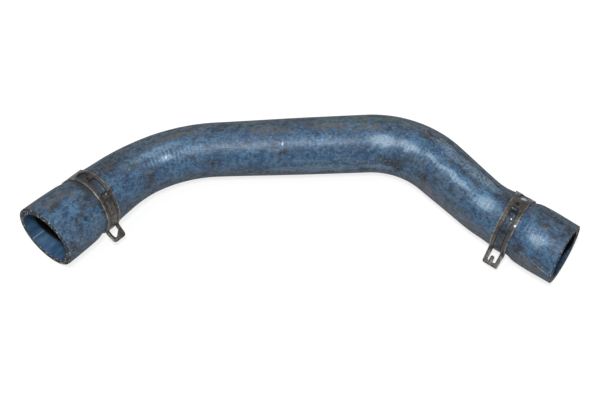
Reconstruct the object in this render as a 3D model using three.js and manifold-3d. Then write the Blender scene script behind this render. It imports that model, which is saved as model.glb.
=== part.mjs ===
// A used radiator hose for a car: one moulded rubber tube that keeps its bent form, with a wider cuff
// at each end, and the two spring band clamps that still sit on it. Millimetres, +Z up.
// The hose lies on the ground, its axis nearly level, with the mouths at the front left and front right.
import * as THREE from "three";
import { mergeVertices } from "three/addons/utils/BufferGeometryUtils.js";
import Module from "manifold-3d";

// Route of the hose's axis: the corners of its legs seen from above, each with its bend radius
const LEFT_MOUTH = { x: -181.0, y: -47.9 };
const FIRST_BEND = { x: -103.5, y: 28.5, radius: 114 };
const SECOND_BEND = { x: 81.0, y: 37.5, radius: 66 };
const THIRD_BEND = { x: 134.0, y: -21.5, radius: 77 };
const RIGHT_MOUTH = { x: 187.2, y: -61.0 };

// Outer radii along the hose, and the wall that leaves the bore
const LEFT_MOUTH_RADIUS = 25.4;
const LEFT_CUFF_RADIUS = 24.4;
const LEFT_NECK_RADIUS = 21.7;
const LEFT_LEG_RADIUS = 20.1;
const MIDDLE_RADIUS = 21.1;
const ELBOW_RADIUS = 21.5;
const RIGHT_LEG_RADIUS = 20.3;
const RIGHT_CUFF_RADIUS = 23.0;
const RIGHT_MOUTH_RADIUS = 22.8;
const WALL = 4.8;

// Where the radii hold: distances along the axis from the mouth on the same side
const LEFT_CUFF_AT = 25;
const LEFT_NECK_AT = 62;
const LEFT_LEG_FROM = 92;
const LEFT_LEG_TO = 150;
const MIDDLE_FROM = 212;
const ELBOW_AT = 120;
const RIGHT_LEG_AT = 62;
const RIGHT_CUFF_AT = 26;

// The ends were trimmed by hand and the clamps sit a little askew: degrees by which the top and the
// front of the section lean towards the right mouth
const LEFT_CUT = { top: 0.5, front: 5.2 };
const RIGHT_CUT = { top: 1.8, front: 4.4 };
const LEAN_REACH = 30;

// Band clamps: one spring steel strip each, its forked end turned out as a tang
const BAND_THICKNESS = 1.2;
const BAND_WIDTH = 16.4;
const WINDOW_WIDTH = 6.4;
const TONGUE_CLEARANCE = 0.4;
const CLAMP_GAP = 0.3;
const GRIP_DEPTH = 0.8;
const TANG_BRIDGE = 3.0;
const TOOTH_WIDTH = 3.0;
const TOOTH_HEIGHT = 4.4;
const FOLD_RADIUS = 2.4;

// Angles round each ring, in degrees from its tang and up over the top
const WIDENS_AT = 156;
const WIDE_FROM = 174;
const WIDE_TO = 300;
const TONGUE_FROM = 328;
const SPLICE_AT = 205;
const LEFT_CLAMP = {
  fromMouth: 42.8,
  lean: { top: 8.2, front: 3.4 },
  rail: 2.6,
  tangBelow: 22,
  tangHeight: 10.6,
  tangEndWidth: 10.2,
  windowEnd: 118,
  tip: 83,
  tipHeight: 12.0,
  slotFrom: 127,
  slotTo: 149,
  toothOffset: -1.4,
};
const RIGHT_CLAMP = {
  fromMouth: 44.5,
  lean: { top: 4.2, front: 5.7 },
  rail: 3.5,
  tangBelow: 27,
  tangHeight: 12.6,
  tangEndWidth: 12.2,
  windowEnd: 118,
  tip: 106,
  tipHeight: 9.0,
  slotFrom: 140,
  slotTo: 184,
  toothOffset: 0.5,
};

// Fineness of the mesh
const ROUND_STEPS = 32;
const STATION_STEP = 9;
const RING_STEP = 7.5;
const FOLD_STEPS = 4;

const HOSE_BLUE = "#4b6c90";
const STEEL_BROWN = "#57514d";

const UP = new THREE.Vector3(0, 0, 1);
const wasm = await Module();
wasm.setup();

// Booleans

function solidOf(geometry) {
  const bare = geometry.clone();
  bare.deleteAttribute("normal");
  bare.deleteAttribute("uv");
  const merged = mergeVertices(bare, 1e-4);
  const mesh = new wasm.Mesh({
    numProp: 3,
    vertProperties: merged.getAttribute("position").array,
    triVerts: new Uint32Array(merged.index.array),
  });
  return new wasm.Manifold(mesh);
}

function geometryOf(solid) {
  const { vertProperties, triVerts } = solid.getMesh();
  const geometry = new THREE.BufferGeometry();
  geometry.setAttribute("position", new THREE.BufferAttribute(vertProperties, 3));
  geometry.setIndex(new THREE.BufferAttribute(triVerts, 1));
  geometry.computeVertexNormals();
  return geometry;
}

// Axis of the hose

// A bend is a round arc that leaves along one leg and turns by an angle towards the next one.
class Bend extends THREE.Curve {
  constructor(start, along, inward, radius, angle) {
    super();
    Object.assign(this, { start, along, inward, radius, angle });
  }
  getPoint(t, target = new THREE.Vector3()) {
    const turned = t * this.angle;
    return target
      .copy(this.start)
      .addScaledVector(this.along, this.radius * Math.sin(turned))
      .addScaledVector(this.inward, this.radius * (1 - Math.cos(turned)));
  }
}

// Straight legs between the corners, joined by round bends.
function routeThrough(corners) {
  const route = new THREE.CurvePath();
  let legStart = corners[0].at;
  for (let i = 1; i < corners.length - 1; i += 1) {
    const { at, radius } = corners[i];
    const along = at.clone().sub(corners[i - 1].at).normalize();
    const next = corners[i + 1].at.clone().sub(at).normalize();
    const angle = along.angleTo(next);
    const inward = next.clone().addScaledVector(along, -Math.cos(angle)).normalize();
    const bendStart = at.clone().addScaledVector(along, -radius * Math.tan(angle / 2));
    const bend = new Bend(bendStart, along, inward, radius, angle);
    route.add(new THREE.LineCurve3(legStart, bendStart));
    route.add(bend);
    legStart = bend.getPoint(1);
  }
  route.add(new THREE.LineCurve3(legStart, corners[corners.length - 1].at));
  return route;
}

// The axis lies as high as the hose is thick there, so that the mouths and the middle touch the ground.
function hoseAxis() {
  const corner = ({ x, y, radius }, height) => ({ at: new THREE.Vector3(x, y, height), radius });
  return routeThrough([
    corner(LEFT_MOUTH, LEFT_MOUTH_RADIUS),
    corner(FIRST_BEND, MIDDLE_RADIUS),
    corner(SECOND_BEND, MIDDLE_RADIUS),
    corner(THIRD_BEND, RIGHT_LEG_RADIUS + CLAMP_GAP + BAND_THICKNESS),
    corner(RIGHT_MOUTH, RIGHT_MOUTH_RADIUS),
  ]);
}

const axis = hoseAxis();
const LENGTH = axis.getLength();

// Position and directions of the axis at a distance from the left mouth. side points to the front.
function frameAt(distance) {
  const t = THREE.MathUtils.clamp(distance / LENGTH, 0, 1);
  const along = axis.getTangent(t);
  const side = along.clone().cross(UP).normalize();
  const point = axis.getPoint(t).addScaledVector(along, distance - t * LENGTH);
  return { point, along, side, up: side.clone().cross(along) };
}

// A value that is level at each mark of place and value, and eases from one mark to the next.
function easeThrough(marks, place) {
  const next = marks.findIndex(([at]) => at > place);
  if (next === 0) return marks[0][1];
  if (next < 0) return marks[marks.length - 1][1];
  const [[from, start], [to, end]] = [marks[next - 1], marks[next]];
  return THREE.MathUtils.lerp(start, end, THREE.MathUtils.smoothstep(place, from, to));
}

// Hose

const clampPlaces = {
  left: LEFT_CLAMP.fromMouth,
  right: LENGTH - RIGHT_CLAMP.fromMouth,
};

const radiusMarks = [
  [0, LEFT_MOUTH_RADIUS],
  [LEFT_CUFF_AT, LEFT_CUFF_RADIUS],
  [LEFT_NECK_AT, LEFT_NECK_RADIUS],
  [LEFT_LEG_FROM, LEFT_LEG_RADIUS],
  [LEFT_LEG_TO, LEFT_LEG_RADIUS],
  [MIDDLE_FROM, MIDDLE_RADIUS],
  [LENGTH - ELBOW_AT, ELBOW_RADIUS],
  [LENGTH - RIGHT_LEG_AT, RIGHT_LEG_RADIUS],
  [LENGTH - RIGHT_CUFF_AT, RIGHT_CUFF_RADIUS],
  [LENGTH, RIGHT_MOUTH_RADIUS],
];
const radiusCurve = new THREE.SplineCurve(radiusMarks.map(([at, radius]) => new THREE.Vector2(at, radius)));

// Free outer radius, before a clamp squeezes it: a smooth curve through the marks.
function freeRadius(distance) {
  const intervals = radiusMarks.length - 1;
  const next = radiusMarks.findIndex(([at]) => at > distance);
  const i = next < 0 ? intervals - 1 : Math.max(next - 1, 0);
  const [from, to] = [radiusMarks[i][0], radiusMarks[i + 1][0]];
  const t = THREE.MathUtils.clamp((distance - from) / (to - from), 0, 1);
  return radiusCurve.getPoint((i + t) / intervals).y;
}

// Radius of the seat under a clamp: the mean free radius below the band, less the squeeze.
function seatRadius(place) {
  const edges = [place - BAND_WIDTH / 2, place, place + BAND_WIDTH / 2].map(freeRadius);
  return edges.reduce((sum, radius) => sum + radius) / edges.length - GRIP_DEPTH;
}

// The hose's outer radius: straight under each band, free beside it.
function outerRadius(distance) {
  for (const place of Object.values(clampPlaces))
    if (Math.abs(distance - place) <= BAND_WIDTH / 2 + CLAMP_GAP) return seatRadius(place);
  return freeRadius(distance);
}

// Distances where the hose has a ring of points: even steps, with close ones at both sides of a band.
function stations() {
  const seatEdge = BAND_WIDTH / 2 + CLAMP_GAP;
  const shoulder = seatEdge + 2 * GRIP_DEPTH;
  const placed = [0, LENGTH];
  for (const place of Object.values(clampPlaces))
    placed.push(place - shoulder, place - seatEdge, place + seatEdge, place + shoulder);
  const count = Math.round(LENGTH / STATION_STEP);
  for (let i = 1; i < count; i += 1) {
    const distance = (LENGTH * i) / count;
    if (placed.every((d) => Math.abs(d - distance) > STATION_STEP / 3)) placed.push(distance);
  }
  return placed.sort((a, b) => a - b);
}

// How far a point of a leaning section moves along the axis, from its place to the front and above.
function leanShift({ top, front }, toFront, above) {
  const slope = (degrees) => Math.tan(THREE.MathUtils.degToRad(degrees));
  return slope(front) * toFront + slope(top) * above;
}

// The lean of the hose's section: that of the cuts and of the clamps near them, none between.
function leanAt(distance) {
  const none = { top: 0, front: 0 };
  const marks = [
    [0, LEFT_CUT],
    [clampPlaces.left, LEFT_CLAMP.lean],
    [clampPlaces.left + LEAN_REACH, none],
    [clampPlaces.right - LEAN_REACH, none],
    [clampPlaces.right, RIGHT_CLAMP.lean],
    [LENGTH, RIGHT_CUT],
  ];
  const ease = (key) => easeThrough(marks.map(([at, lean]) => [at, lean[key]]), distance);
  return { top: ease("top"), front: ease("front") };
}

// A straight tube turned about Y is bent onto the axis: Y becomes the distance along it.
function hoseGeometry() {
  const places = stations();
  const outside = places.map((d) => new THREE.Vector2(outerRadius(d), d));
  const inside = places.map((d) => new THREE.Vector2(freeRadius(d) - WALL, d)).reverse();
  const profile = [...outside, ...inside, outside[0]];
  const tube = new THREE.LatheGeometry(profile, ROUND_STEPS);
  const points = tube.getAttribute("position");
  const radial = new THREE.Vector2();
  for (let i = 0; i < points.count; i += 1) {
    radial.set(points.getX(i), points.getZ(i));
    const distance = points.getY(i);
    const { point, along, side, up } = frameAt(distance);
    point.addScaledVector(along, leanShift(leanAt(distance), radial.x, radial.y));
    point.addScaledVector(side, radial.x).addScaledVector(up, radial.y);
    points.setXYZ(i, point.x, point.y, point.z);
  }
  return geometryOf(solidOf(tube));
}

// Clamps

// Stations of a strip along a flat curve: the strip's middle line and its outward normal.
function alongCurve(curve, steps, width) {
  return Array.from({ length: steps + 1 }, (_, i) => {
    const t = i / steps;
    const tangent = curve.getTangent(t);
    return { point: curve.getPoint(t), normal: new THREE.Vector2(tangent.y, -tangent.x), width: width(t) };
  });
}

// A flat blank, cut to its outline and rolled so that its length follows the stations.
function rollStrip(parts, thickness) {
  const line = parts.flatMap((part, i) => (i === 0 ? part : part.slice(1)));
  const steps = line.length - 1;
  const blank = new THREE.BoxGeometry(1, 1, 1, steps, 1, 1);
  const points = blank.getAttribute("position");
  for (let i = 0; i < points.count; i += 1) {
    const { point, normal, width } = line[Math.round((points.getX(i) + 0.5) * steps)];
    const rise = points.getZ(i) * thickness;
    points.setXYZ(i, point.x + normal.x * rise, point.y + normal.y * rise, points.getY(i) * width);
  }
  return solidOf(blank);
}

// Width of the band by angle: narrow at the fork, wide at the back, tapered to the tongue.
function bandWidth({ rail }, degrees) {
  const forkWidth = WINDOW_WIDTH + 2 * rail;
  const tongueWidth = WINDOW_WIDTH - 2 * TONGUE_CLEARANCE;
  return easeThrough(
    [
      [0, forkWidth],
      [WIDENS_AT, forkWidth],
      [WIDE_FROM, BAND_WIDTH],
      [WIDE_TO, BAND_WIDTH],
      [TONGUE_FROM, tongueWidth],
      [360, tongueWidth],
    ],
    degrees,
  );
}

// The strip's middle line on one ring. Angles run counter-clockwise, degrees from the tang.
class Ring {
  constructor({ tangBelow }, innerRadius) {
    this.radius = innerRadius + BAND_THICKNESS / 2;
    this.tangBelow = tangBelow;
    const reach = this.radius + FOLD_RADIUS;
    this.foldAngle = THREE.MathUtils.radToDeg(Math.asin(FOLD_RADIUS / reach));
    this.foldRise = Math.sqrt(reach ** 2 - FOLD_RADIUS ** 2);
  }
  turn(degrees) {
    return THREE.MathUtils.degToRad(degrees - this.tangBelow);
  }
  place(radius, sideways, degrees) {
    return new THREE.Vector2(radius, sideways).rotateAround(new THREE.Vector2(), this.turn(degrees));
  }
  arc(from, to, width) {
    const curve = new THREE.EllipseCurve(0, 0, this.radius, this.radius, this.turn(from), this.turn(to));
    const steps = Math.ceil((to - from) / RING_STEP);
    return alongCurve(curve, steps, (t) => width(THREE.MathUtils.lerp(from, to, t)));
  }
  // The straight end that points outwards, and the fold that turns it into the ring.
  standingStart(height, width) {
    const top = this.place(this.radius + height, 0, 0);
    const foot = this.place(this.foldRise, 0, 0);
    const centre = this.place(this.foldRise, FOLD_RADIUS, 0);
    const from = this.turn(0) - Math.PI / 2;
    const to = this.turn(this.foldAngle) - Math.PI;
    const fold = new THREE.EllipseCurve(centre.x, centre.y, FOLD_RADIUS, FOLD_RADIUS, from, to, true);
    const atFoot = () => width(1);
    return [alongCurve(new THREE.LineCurve(top, foot), 1, width), alongCurve(fold, FOLD_STEPS, atFoot)];
  }
  // The same at the other end of the strip, where it turns outwards at an angle.
  standingEnd(degrees, height, width) {
    const top = this.place(this.radius + height, 0, degrees);
    const foot = this.place(this.foldRise, 0, degrees);
    const centre = this.place(this.foldRise, -FOLD_RADIUS, degrees);
    const from = this.turn(degrees - this.foldAngle) - Math.PI;
    const to = this.turn(degrees) - 1.5 * Math.PI;
    const fold = new THREE.EllipseCurve(centre.x, centre.y, FOLD_RADIUS, FOLD_RADIUS, from, to, true);
    return [alongCurve(fold, FOLD_STEPS, width), alongCurve(new THREE.LineCurve(foot, top), 1, width)];
  }
}

// A rounded tooth that stands inwards from the outer edge of the tang's window.
function toothSolid(ring, { toothOffset, tangHeight }) {
  const half = TOOTH_WIDTH / 2;
  const straight = TOOTH_HEIGHT - half;
  const root = TANG_BRIDGE / 2;
  const outline = new THREE.Shape();
  outline.moveTo(-half, root).lineTo(-half, -straight);
  outline.absarc(0, -straight, half, Math.PI, 2 * Math.PI);
  outline.lineTo(half, root).closePath();
  const tooth = new THREE.ExtrudeGeometry(outline, {
    depth: BAND_THICKNESS,
    bevelEnabled: false,
    curveSegments: 6,
  });
  tooth.translate(toothOffset, ring.radius + tangHeight - TANG_BRIDGE, -BAND_THICKNESS / 2);
  const radial = ring.place(1, 0, 0);
  const across = new THREE.Vector3(0, 0, 1);
  const outward = new THREE.Vector3(radial.x, radial.y, 0);
  const basis = new THREE.Matrix4().makeBasis(across, outward, across.clone().cross(outward));
  return solidOf(tooth.applyMatrix4(basis));
}

// The forked half of the band: tang, rails and windows.
function forkSolid(ring, clamp) {
  const { tangHeight, tangEndWidth, windowEnd, slotFrom, slotTo } = clamp;
  const forkWidth = (degrees) => bandWidth(clamp, degrees);
  const tangWidth = (t) => THREE.MathUtils.lerp(tangEndWidth, forkWidth(0), t);
  const windowWidth = () => WINDOW_WIDTH;
  const deep = 3 * BAND_THICKNESS;
  const start = ring.foldAngle;
  const whole = rollStrip(
    [...ring.standingStart(tangHeight, tangWidth), ring.arc(start, SPLICE_AT, forkWidth)],
    BAND_THICKNESS,
  );
  const window = rollStrip(
    [
      ...ring.standingStart(tangHeight - TANG_BRIDGE, windowWidth),
      ring.arc(start, windowEnd, windowWidth),
    ],
    deep,
  );
  const slot = rollStrip([ring.arc(slotFrom, slotTo, windowWidth)], deep);
  return whole.subtract(window).subtract(slot).add(toothSolid(ring, clamp));
}

// The other half: the wide back, its taper, and the tongue that runs between the rails to its tip.
function tongueSolid(ring, clamp) {
  const { tip, tipHeight } = clamp;
  const backWidth = (degrees) => bandWidth(clamp, degrees);
  const tongueWidth = () => backWidth(360);
  const end = 360 + tip;
  const overlap = RING_STEP / 2;
  return rollStrip(
    [
      ring.arc(SPLICE_AT - overlap, end - ring.foldAngle, backWidth),
      ...ring.standingEnd(end, tipHeight, tongueWidth),
    ],
    BAND_THICKNESS,
  );
}

// The ring leans as the hose's section does below it. Its Z points to the left mouth.
function clampGeometry(clamp, place) {
  const ring = new Ring(clamp, seatRadius(place) + CLAMP_GAP);
  const geometry = geometryOf(forkSolid(ring, clamp).add(tongueSolid(ring, clamp)));
  const points = geometry.getAttribute("position");
  for (let i = 0; i < points.count; i += 1)
    points.setZ(i, points.getZ(i) - leanShift(clamp.lean, points.getX(i), points.getY(i)));
  return geometry;
}

// Assembly

function rubber() {
  return new THREE.MeshStandardMaterial({ color: HOSE_BLUE, roughness: 0.5, metalness: 0 });
}

function springSteel() {
  return new THREE.MeshStandardMaterial({ color: STEEL_BROWN, roughness: 0.5, metalness: 0.8 });
}

function hose() {
  const mesh = new THREE.Mesh(hoseGeometry(), rubber());
  mesh.name = "hose";
  return mesh;
}

// A clamp is made about its own Z and set square on the hose's axis.
function clampOnHose(name, clamp, place) {
  const mesh = new THREE.Mesh(clampGeometry(clamp, place), springSteel());
  mesh.name = name;
  const { point, along, side, up } = frameAt(place);
  mesh.position.copy(point);
  mesh.quaternion.setFromRotationMatrix(new THREE.Matrix4().makeBasis(side, up, along.negate()));
  return mesh;
}

// The origin is the middle of the footprint, on the ground.
function settleOnGround(group) {
  const box = new THREE.Box3().setFromObject(group, true);
  const centre = box.getCenter(new THREE.Vector3());
  group.position.set(-centre.x, -centre.y, -box.min.z);
  return group;
}

const radiatorHose = new THREE.Group();
radiatorHose.name = "radiator_hose";
radiatorHose.add(
  hose(),
  clampOnHose("left_clamp", LEFT_CLAMP, clampPlaces.left),
  clampOnHose("right_clamp", RIGHT_CLAMP, clampPlaces.right),
);

export default settleOnGround(radiatorHose);
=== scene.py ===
# %% [markdown]
# A used radiator hose of blue moulded rubber, with the two spring band clamps that still sit on it.
# The hose is made straight, as a tube on the X axis, where its radii and its cuts are easy to set.
# Only then is it bent along its route, as the rubber was when it was moulded. The clamps are made
# in the same way: each is cut out of flat steel strip and rolled afterwards.
# Every length is in metres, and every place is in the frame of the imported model.

# %% Load the frame
import math

import bpy
from mathutils import Matrix, Quaternion, Vector


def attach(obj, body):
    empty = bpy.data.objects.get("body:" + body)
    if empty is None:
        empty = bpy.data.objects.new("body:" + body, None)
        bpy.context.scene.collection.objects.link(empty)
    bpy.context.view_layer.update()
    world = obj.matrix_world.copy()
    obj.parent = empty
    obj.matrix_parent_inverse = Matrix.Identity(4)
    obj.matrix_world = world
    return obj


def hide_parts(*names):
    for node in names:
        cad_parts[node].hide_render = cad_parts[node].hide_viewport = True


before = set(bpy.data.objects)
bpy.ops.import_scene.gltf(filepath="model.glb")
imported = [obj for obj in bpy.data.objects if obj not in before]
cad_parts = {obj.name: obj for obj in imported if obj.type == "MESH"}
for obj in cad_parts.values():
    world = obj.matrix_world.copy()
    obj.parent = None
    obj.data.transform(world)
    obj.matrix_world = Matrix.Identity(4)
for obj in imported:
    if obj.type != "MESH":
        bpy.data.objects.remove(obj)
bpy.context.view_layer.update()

# %% [markdown]
# The route of the hose's axis is four straight legs, joined by three round bends. The corners are
# given seen from above, and the axis lies as high as the hose is thick there. These are the values
# of the model's source, so that the hose lies exactly where its solid lies.

# %% The route's corners
MM = 0.001
ORIGIN = Vector((0.547, 11.442, 0.630)) * MM
LEFT_MOUTH = Vector((-181.0, -47.9, 25.4)) * MM
FIRST_BEND = Vector((-103.5, 28.5, 21.1)) * MM
SECOND_BEND = Vector((81.0, 37.5, 21.1)) * MM
THIRD_BEND = Vector((134.0, -21.5, 21.8)) * MM
RIGHT_MOUTH = Vector((187.2, -61.0, 22.8)) * MM
BENDS = [(FIRST_BEND, 114 * MM), (SECOND_BEND, 66 * MM), (THIRD_BEND, 77 * MM)]
print("bend radii", [round(radius, 3) for _, radius in BENDS])

# %% [markdown]
# Blender bends a mesh with a Curve modifier, whose curve is drawn with knots and handles. A round
# bend gets handles of a known length: four thirds of the tangent of a quarter of its angle, times its
# radius. A path is kept as a list of knots: a place, the handle before it and the handle after it.

# %% Draw straight runs and round bends
BEND_STEP = math.radians(30)


def start_path(place):
    """A path of one knot, whose handles aren't pulled out yet."""
    return [[place, place, place]]


def run_to(path, end):
    """Goes on in a straight line."""
    start = path[-1][0]
    path[-1][2] = start.lerp(end, 1 / 3)
    path.append([end, end.lerp(start, 1 / 3), end])


def bend_about(path, centre, axis, angle):
    """Goes on round a centre, in a few equal steps."""
    steps = max(1, math.ceil(abs(angle) / BEND_STEP))
    turn = Quaternion(axis, angle / steps)
    reach = 4 / 3 * math.tan(angle / steps / 4)
    for _ in range(steps):
        arm = path[-1][0] - centre
        path[-1][2] = path[-1][0] + axis.cross(arm) * reach
        arm = turn @ arm
        path.append([centre + arm, centre + arm - axis.cross(arm) * reach, centre + arm])


def path_object(name, path):
    """The curve object that a Curve modifier bends along."""
    curve = bpy.data.curves.new(name, "CURVE")
    curve.dimensions = "3D"
    curve.twist_mode = "Z_UP"
    curve.resolution_u = 48
    spline = curve.splines.new("BEZIER")
    spline.bezier_points.add(len(path) - 1)
    for knot, (place, before, after) in zip(spline.bezier_points, path):
        knot.handle_left_type = knot.handle_right_type = "FREE"
        knot.co, knot.handle_left, knot.handle_right = place, before, after
    piece = bpy.data.objects.new(name, curve)
    bpy.context.scene.collection.objects.link(piece)
    return piece


# %% The hose's route
def hose_route():
    """The path of the axis, with each corner rounded to its radius, and the length of it."""
    path = start_path(LEFT_MOUTH + ORIGIN)
    corners = [LEFT_MOUTH, *(corner for corner, _ in BENDS), RIGHT_MOUTH]
    length = 0
    for i, (corner, radius) in enumerate(BENDS, start=1):
        along = (corner - corners[i - 1]).normalized()
        onwards = (corners[i + 1] - corner).normalized()
        angle = along.angle(onwards)
        bend_start = corner - along * radius * math.tan(angle / 2) + ORIGIN
        inward = (onwards - along * math.cos(angle)).normalized()
        length += (bend_start - path[-1][0]).length + radius * angle
        run_to(path, bend_start)
        bend_about(path, bend_start + inward * radius, along.cross(inward), angle)
    length += (RIGHT_MOUTH + ORIGIN - path[-1][0]).length
    run_to(path, RIGHT_MOUTH + ORIGIN)
    return path, length


ROUTE, LENGTH = hose_route()
print("hose length", round(LENGTH, 4))

# %% [markdown]
# The hose isn't equally thick all over: both ends widen to cuffs, and the middle is a little
# stouter than the legs. The radii are given at marks, and one smooth curve runs through them all.

# %% Radii of the free hose
WALL = 4.8 * MM
RADII = [
    (0.0, 25.4 * MM),
    (25 * MM, 24.4 * MM),
    (62 * MM, 21.7 * MM),
    (92 * MM, 20.1 * MM),
    (150 * MM, 20.1 * MM),
    (212 * MM, 21.1 * MM),
    (LENGTH - 120 * MM, 21.5 * MM),
    (LENGTH - 62 * MM, 20.3 * MM),
    (LENGTH - 26 * MM, 23.0 * MM),
    (LENGTH, 22.8 * MM),
]


def free_radius(distance):
    """Radius so far from the left mouth, where no clamp squeezes the hose."""
    last = len(RADII) - 2
    i = max([k for k in range(last + 1) if RADII[k][0] <= distance], default=0)
    r0, r1, r2, r3 = (RADII[min(max(k, 0), last + 1)][1] for k in range(i - 1, i + 3))
    t = min(max((distance - RADII[i][0]) / (RADII[i + 1][0] - RADII[i][0]), 0), 1)
    slope_in, slope_out = (r2 - r0) / 2, (r3 - r1) / 2
    curved = (2 * r1 - 2 * r2 + slope_in + slope_out) * t ** 3
    return curved + (3 * r2 - 3 * r1 - 2 * slope_in - slope_out) * t ** 2 + slope_in * t + r1


# %% Where the clamps sit and how they lean
BAND_WIDTH = 16.4 * MM
BAND_THICKNESS = 1.2 * MM
CLAMP_GAP = 0.3 * MM
GRIP_DEPTH = 0.8 * MM
LEFT_PLACE = 42.8 * MM
RIGHT_FROM_END = 44.5 * MM
RIGHT_PLACE = LENGTH - RIGHT_FROM_END


def seat_radius(place):
    """Radius to which a clamp squeezes the hose: the mean below its band, less the grip."""
    radii = [free_radius(place + step * BAND_WIDTH / 2) for step in (-1, 0, 1)]
    return sum(radii) / 3 - GRIP_DEPTH


print("seat radii", round(seat_radius(LEFT_PLACE), 5), round(seat_radius(RIGHT_PLACE), 5))

# %% [markdown]
# The ends of the hose were trimmed by hand and the clamps sit a little askew, so sections lean:
# near a clamp with the clamp, at a mouth with the cut, and not at all between the clamps.
# A lean is a pair of angles, by which the top and the front of a section tip towards the right.

# %% Lean of the sections
LEAN_REACH = 30 * MM
LEFT_CUT_LEAN = (0.5, 5.2)
LEFT_LEAN = (8.2, 3.4)
RIGHT_LEAN = (4.2, 5.7)
RIGHT_CUT_LEAN = (1.8, 4.4)
LEANS = [
    (0.0, LEFT_CUT_LEAN),
    (LEFT_PLACE, LEFT_LEAN),
    (LEFT_PLACE + LEAN_REACH, (0.0, 0.0)),
    (RIGHT_PLACE - LEAN_REACH, (0.0, 0.0)),
    (RIGHT_PLACE, RIGHT_LEAN),
    (LENGTH, RIGHT_CUT_LEAN),
]


def ease(marks, place):
    """A value that steps softly from each mark to the next."""
    for (start, value), (end, next_value) in zip(marks, marks[1:]):
        if place < end:
            t = max(place - start, 0) / (end - start)
            return value + (next_value - value) * t * t * (3 - 2 * t)
    return marks[-1][1]


def lean_at(distance):
    return [math.radians(ease([(at, lean[k]) for at, lean in LEANS], distance)) for k in (0, 1)]


print("lean of the left cut", [round(angle, 4) for angle in lean_at(0)])

# %% [markdown]
# An operator would act on them too, so each new piece starts with nothing selected. With no
# window, transform.rotate turns the other way round.

# %% Small helpers for modelling
def deselect_all():
    if bpy.context.mode != "OBJECT":
        bpy.ops.object.mode_set(mode="OBJECT")
    bpy.ops.object.select_all(action="DESELECT")


def activate(piece):
    deselect_all()
    piece.select_set(True)
    bpy.context.view_layer.objects.active = piece


def rotate_selection(angle, axis, centre):
    bpy.ops.transform.rotate(value=-angle, orient_axis=axis, center_override=centre)


def modify(piece, kind, **settings):
    activate(piece)
    modifier = piece.modifiers.new(kind.title(), kind)
    for key, value in settings.items():
        setattr(modifier, key, value)
    bpy.ops.object.modifier_apply(modifier=modifier.name)


def bend_along(piece, path):
    modify(piece, "CURVE", object=path, deform_axis="POS_X")
    bpy.data.objects.remove(path)


# %% [markdown]
# The straight tube starts as a circle at the left mouth. It is extruded from ring to ring, and each
# new ring is scaled to its radius and leaned. Rings lie closer together beside the clamps, where
# the rubber is squeezed below the band and rises again in a soft shoulder on both sides.

# %% Places and radii of the rings
RING_STEP = 4 * MM
RIM_STEP = 0.6 * MM
STEPS_BY_CLAMP = (3.5, 7.2, 8.7, 10.2, 13.0)
SEAT_HALF = 7.2 * MM
SEAT_REACH = 13 * MM
SEAT_SPARE = 0.25 * MM


def ring_places():
    close = []
    for place in (LEFT_PLACE, RIGHT_PLACE):
        for step in STEPS_BY_CLAMP:
            close += [place - step * MM, place + step * MM]
    steps = round(LENGTH / RING_STEP)
    even = [LENGTH * i / steps for i in range(1, steps)]
    kept = [at for at in even if all(abs(at - other) > RING_STEP / 2 for other in close)]
    return sorted([0, RIM_STEP, *close, *kept, LENGTH - RIM_STEP, LENGTH])


def ring_radius(distance):
    """The free radius, but squeezed to the seat below a clamp."""
    for place in (LEFT_PLACE, RIGHT_PLACE):
        away = abs(distance - place)
        if away < SEAT_REACH:
            seat = seat_radius(place) + SEAT_SPARE
            rise = ease([(SEAT_HALF, 0.0), (SEAT_REACH, 1.0)], away)
            return seat + (free_radius(distance) - seat) * rise
    return free_radius(distance)


print("rings", len(ring_places()))

# %% Extrude the straight tube
OUTSIDE, BORE, CUT = 0, 1, 2
RING_CORNERS = 64
UPRIGHT = (0, math.pi / 2, 0)


def straight_tube():
    deselect_all()
    bpy.ops.mesh.primitive_circle_add(vertices=RING_CORNERS, radius=ring_radius(0), rotation=UPRIGHT)
    piece = bpy.context.active_object
    bpy.ops.object.transform_apply(location=True, rotation=True, scale=True)
    for _ in (OUTSIDE, BORE, CUT):
        piece.data.materials.append(None)
    bpy.ops.object.mode_set(mode="EDIT")
    bpy.ops.mesh.select_all(action="SELECT")
    places = ring_places()
    lean = (0, 0)
    for i, place in enumerate(places):
        if i:
            bpy.ops.mesh.extrude_region_move(
                TRANSFORM_OT_translate={"value": (place - places[i - 1], 0, 0)}
            )
            wider = ring_radius(place) / ring_radius(places[i - 1])
            bpy.ops.transform.resize(value=(1, wider, wider), center_override=(place, 0, 0))
        top, front = lean_at(place)
        rotate_selection(front - lean[1], "Z", (place, 0, 0))
        rotate_selection(top - lean[0], "Y", (place, 0, 0))
        lean = (top, front)
    bpy.ops.mesh.select_all(action="SELECT")
    bpy.ops.mesh.remove_doubles(threshold=1e-6)
    bpy.ops.mesh.normals_make_consistent(inside=False)
    bpy.ops.object.mode_set(mode="OBJECT")
    return piece


hose = straight_tube()
hose.name = hose.data.name = "moulded_hose"
print("tube faces", len(hose.data.polygons))

# %% [markdown]
# Subdivision smooths the rings into one another, Solidify gives the wall its thickness inwards, and
# a Bevel breaks the sharp edges of the two cuts, which are the only ones over 50 degrees.

# %% Wall and rims
modify(hose, "SUBSURF", levels=1, render_levels=1)
modify(hose, "SOLIDIFY", thickness=WALL, offset=-1, use_even_offset=True)
modify(hose, "BEVEL", width=0.45 * MM, segments=3, limit_method="ANGLE", angle_limit=math.radians(50))
print("hose faces", len(hose.data.polygons))

# %% [markdown]
# Each face is told apart while the tube is straight: a cut looks along the tube, the bore looks
# towards the axis, and the rest is the outside. The straight shape is also kept as an attribute,
# so that ripples, grime and streaks can follow the hose round its bends.

# %% Mark outside, bore and cuts, and keep the straight shape
CUT_LOOKS_ALONG = 0.55


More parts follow.
